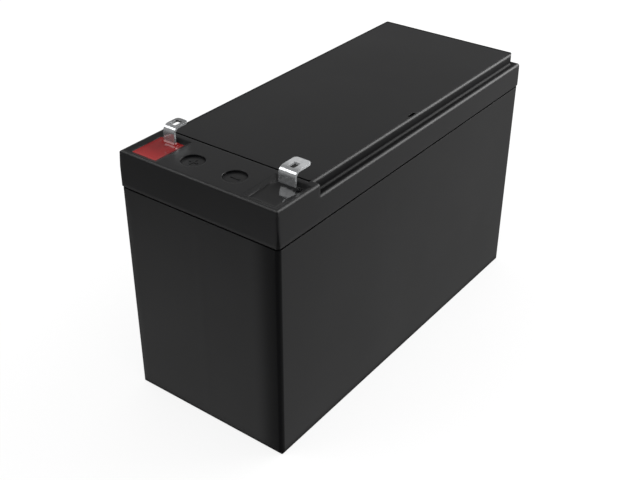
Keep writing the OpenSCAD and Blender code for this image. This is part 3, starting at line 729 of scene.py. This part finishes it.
moulded_signs = sign_tree()
for name, side, bars in (("plus_sign", 1, 2), ("minus_sign", -1, 1)):
    sign = grow(name, moulded_signs, {
        "Bars": bars, "Bar length": bar_length, "Bar width": bar_width, "Bar height": bar_height,
        "Place": (recess_x, side * recess_y, recess_floor_z), "Material": abs_lid,
    })

# Studio. A wide white floor and a white surround, two soft boxes and a weaker fill. The floor and the surround
# show as white to the eye, and the floor still takes a soft shadow. In gloss the floor is a dim painted
# reflection that fades darker towards the left and the front, and the surround dims towards the front.
floor_reach = 3.0
floor_white = "#f4f4f4"
floor_glow = 0.8
floor_in_gloss = 0.38
floor_in_gloss_left = 0.15
left_way = (-0.81, 0.59, 0.0)
left_starts = 0.17
left_full = 0.22
front_way = (-0.59, -0.81, 0.0)
front_starts = 0.14
front_full = 0.18
surround_white = "#ffffff"
fill_level = 1.0
room_in_gloss = 0.28

white_floor, tree, shader, place = new_finish("white_paper_floor", Roughness=0.9)
shader.inputs["Base Color"].default_value = linear(floor_white)
rays = add_node(tree, "ShaderNodeLightPath").outputs
glow = add_node(tree, "ShaderNodeEmission", {"Color": linear(surround_white), "Strength": 1.0})
lit = add_node(tree, "ShaderNodeMixShader", {
    0: math_node(tree, "MULTIPLY", rays["Is Camera Ray"], floor_glow), 1: shader.outputs[0], 2: glow.outputs[0],
})


def fading(tree, place, way, start, end, level, far_level):
    """A level that changes to another one with the distance along a direction."""
    along = add_node(tree, "ShaderNodeVectorMath", {0: place, 1: way}, operation="DOT_PRODUCT")
    return add_node(tree, "ShaderNodeMapRange", {
        "Value": along.outputs["Value"], "From Min": start, "From Max": end,
        "To Min": level, "To Max": far_level,
    }, interpolation_type="SMOOTHSTEP").outputs["Result"]


# Painted reflection: in gloss the floor glows dimly, darker towards the left and the front.
painted_floor_reflection = add_node(tree, "ShaderNodeEmission", {
    "Color": linear(surround_white),
    "Strength": math_node(
        tree, "MULTIPLY",
        fading(tree, place, left_way, left_starts, left_full, floor_in_gloss, floor_in_gloss_left),
        fading(tree, place, front_way, front_starts, front_full, 1.0, 0.05)),
})
shown = add_node(tree, "ShaderNodeMixShader", {
    0: math_node(tree, "MAXIMUM", rays["Is Glossy Ray"], rays["Is Transmission Ray"]),
    1: lit.outputs[0], 2: painted_floor_reflection.outputs[0],
})
tree.links.new(shown.outputs[0], tree.nodes["Material Output"].inputs["Surface"])
corners = [(-floor_reach, -floor_reach, 0), (floor_reach, -floor_reach, 0),
           (floor_reach, floor_reach, 0), (-floor_reach, floor_reach, 0)]
floor_mesh = bpy.data.meshes.new("studio_floor")
floor_mesh.from_pydata(corners, [], [(0, 1, 2, 3)])
floor_mesh.materials.append(white_floor)
floor = bpy.data.objects.new("studio_floor", floor_mesh)
bpy.context.scene.collection.objects.link(floor)

world = bpy.data.worlds.new("white_surround")
world.use_nodes = True
bpy.context.scene.world = world
sky = world.node_tree
sky_rays = add_node(sky, "ShaderNodeLightPath").outputs
mirrored = math_node(sky, "MAXIMUM", sky_rays["Is Glossy Ray"], sky_rays["Is Transmission Ray"])
fill = add_node(sky, "ShaderNodeBackground", {"Color": linear(surround_white), "Strength": fill_level})
white = add_node(sky, "ShaderNodeBackground", {"Color": linear(surround_white), "Strength": 1.0})
heading = add_node(sky, "ShaderNodeTexCoord").outputs["Generated"]
room = add_node(sky, "ShaderNodeBackground", {
    "Color": linear(surround_white),
    "Strength": fading(sky, heading, front_way, 0.1, 0.4, room_in_gloss, 0.03),
})
in_gloss = add_node(sky, "ShaderNodeMixShader", {0: mirrored, 1: fill.outputs[0], 2: room.outputs[0]})
to_eye = add_node(sky, "ShaderNodeMixShader", {
    0: sky_rays["Is Camera Ray"], 1: in_gloss.outputs[0], 2: white.outputs[0],
})
sky.links.new(to_eye.outputs[0], sky.nodes["World Output"].inputs["Surface"])

object_middle = (cad_low + cad_high) / 2


def soft_box(name, direction, distance, width, height, power):
    """An area lamp that faces the battery's middle from a direction."""
    lamp = bpy.data.lights.new(name, "AREA")
    lamp.shape = "RECTANGLE"
    lamp.size = width
    lamp.size_y = height
    lamp.energy = power
    placed = bpy.data.objects.new(name, lamp)
    way = Vector(direction).normalized()
    placed.location = object_middle + way * distance
    placed.rotation_euler = (-way).to_track_quat("-Z", "Y").to_euler()
    bpy.context.scene.collection.objects.link(placed)


soft_box("right_soft_box", (0.77, -0.45, 0.40), 0.9, 0.8, 0.7, 7.0)
soft_box("back_left_soft_box", (-0.53, 0.50, 0.70), 0.9, 0.5, 0.32, 1.6)

# Camera. It stands at the photograph's viewpoint: to the left of the terminal end, a third of the
# way up, with the lens that gives the photograph's convergence.
camera_place = Vector((-266.2, -187.6, 239.7)) * mm
camera_azimuth = -53.68
camera_elevation = 32.18
camera_roll = 0.37
camera_lens = 56.65

lens = bpy.data.cameras.new("studio_camera")
lens.lens = camera_lens
lens.clip_start = 0.01
camera = bpy.data.objects.new("studio_camera", lens)
camera.location = camera_place
aim = Matrix.Rotation(math.radians(camera_azimuth), 3, "Z")
aim @= Matrix.Rotation(math.radians(90 - camera_elevation), 3, "X")
aim @= Matrix.Rotation(math.radians(camera_roll), 3, "Z")
camera.rotation_euler = aim.to_euler()
bpy.context.scene.collection.objects.link(camera)
bpy.context.scene.camera = camera
bpy.context.scene.view_settings.view_transform = "Standard"
